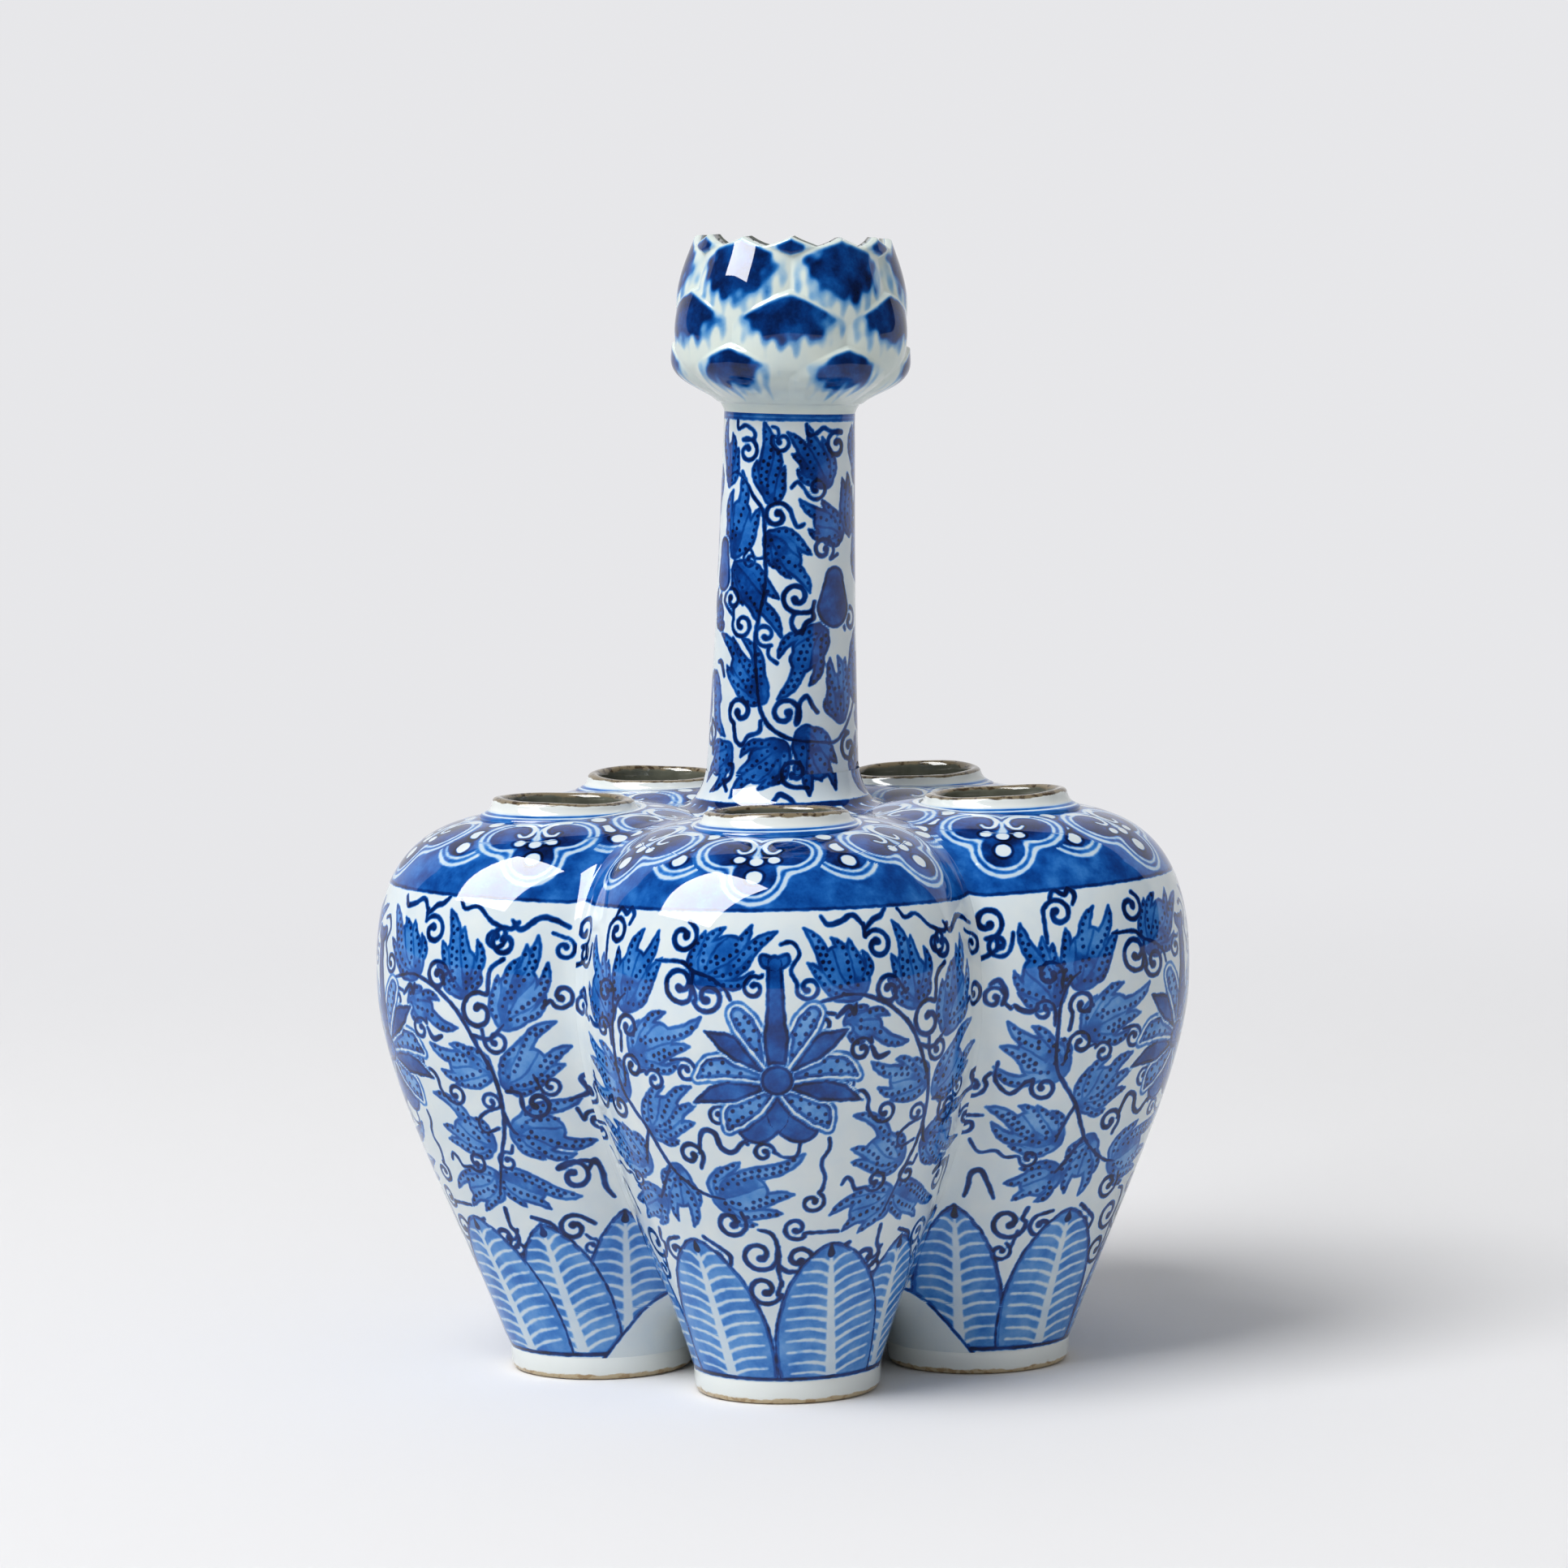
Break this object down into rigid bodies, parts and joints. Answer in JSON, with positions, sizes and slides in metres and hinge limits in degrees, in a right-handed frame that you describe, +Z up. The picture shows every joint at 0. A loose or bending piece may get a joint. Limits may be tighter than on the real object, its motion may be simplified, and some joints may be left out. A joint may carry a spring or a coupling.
{
  "type": "tulip vase",
  "caption": "Blue-and-white porcelain tulip vase: a ring of round-bellied lobes, each with its own mouth, luted round a tall neck that ends in a moulded lotus bud.",
  "frame": {"origin": "on the resting plane, on the axis of the central bottle, in the middle of the ring of feet", "axes": "+Z up, the front lobe towards -Y, +X to the right of the front view"},
  "size_m": [0.1718, 0.1675, 0.2383],
  "materials": {
    "painted_glaze": "cobalt painting under a clear glossy glaze on white porcelain",
    "white_glaze": "clear glossy glaze on white porcelain",
    "lotus_glaze": "pale celadon-white glaze with cobalt blots on the petals",
    "bare_clay": "unglazed fired clay, matt, warm buff"
  },
  "bodies": {
    "root": {"lobe_front_lower": "painted_glaze", "lobe_front_upper": "painted_glaze", "seam_front": "painted_glaze", "mouth_collar_front": "white_glaze", "base_disc_front": "white_glaze", "foot_ring_front": "bare_clay", "lobe_right_lower": "painted_glaze", "lobe_right_upper": "painted_glaze", "seam_right": "painted_glaze", "mouth_collar_right": "white_glaze", "base_disc_right": "white_glaze", "foot_ring_right": "bare_clay", "lobe_back_right_lower": "painted_glaze", "lobe_back_right_upper": "painted_glaze", "seam_back_right": "painted_glaze", "mouth_collar_back_right": "white_glaze", "base_disc_back_right": "white_glaze", "foot_ring_back_right": "bare_clay", "lobe_back_left_lower": "painted_glaze", "lobe_back_left_upper": "painted_glaze", "seam_back_left": "painted_glaze", "mouth_collar_back_left": "white_glaze", "base_disc_back_left": "white_glaze", "foot_ring_back_left": "bare_clay", "lobe_left_lower": "painted_glaze", "lobe_left_upper": "painted_glaze", "seam_left": "painted_glaze", "mouth_collar_left": "white_glaze", "base_disc_left": "white_glaze", "foot_ring_left": "bare_clay", "neck": "painted_glaze", "neck_flare": "painted_glaze", "bottle_wall": "white_glaze", "bottle_floor": "white_glaze", "lotus_cup": "lotus_glaze", "lotus_petals_lower": "lotus_glaze", "lotus_petals_middle": "lotus_glaze", "lotus_petals_upper": "lotus_glaze"}
  },
  "joints": []
}
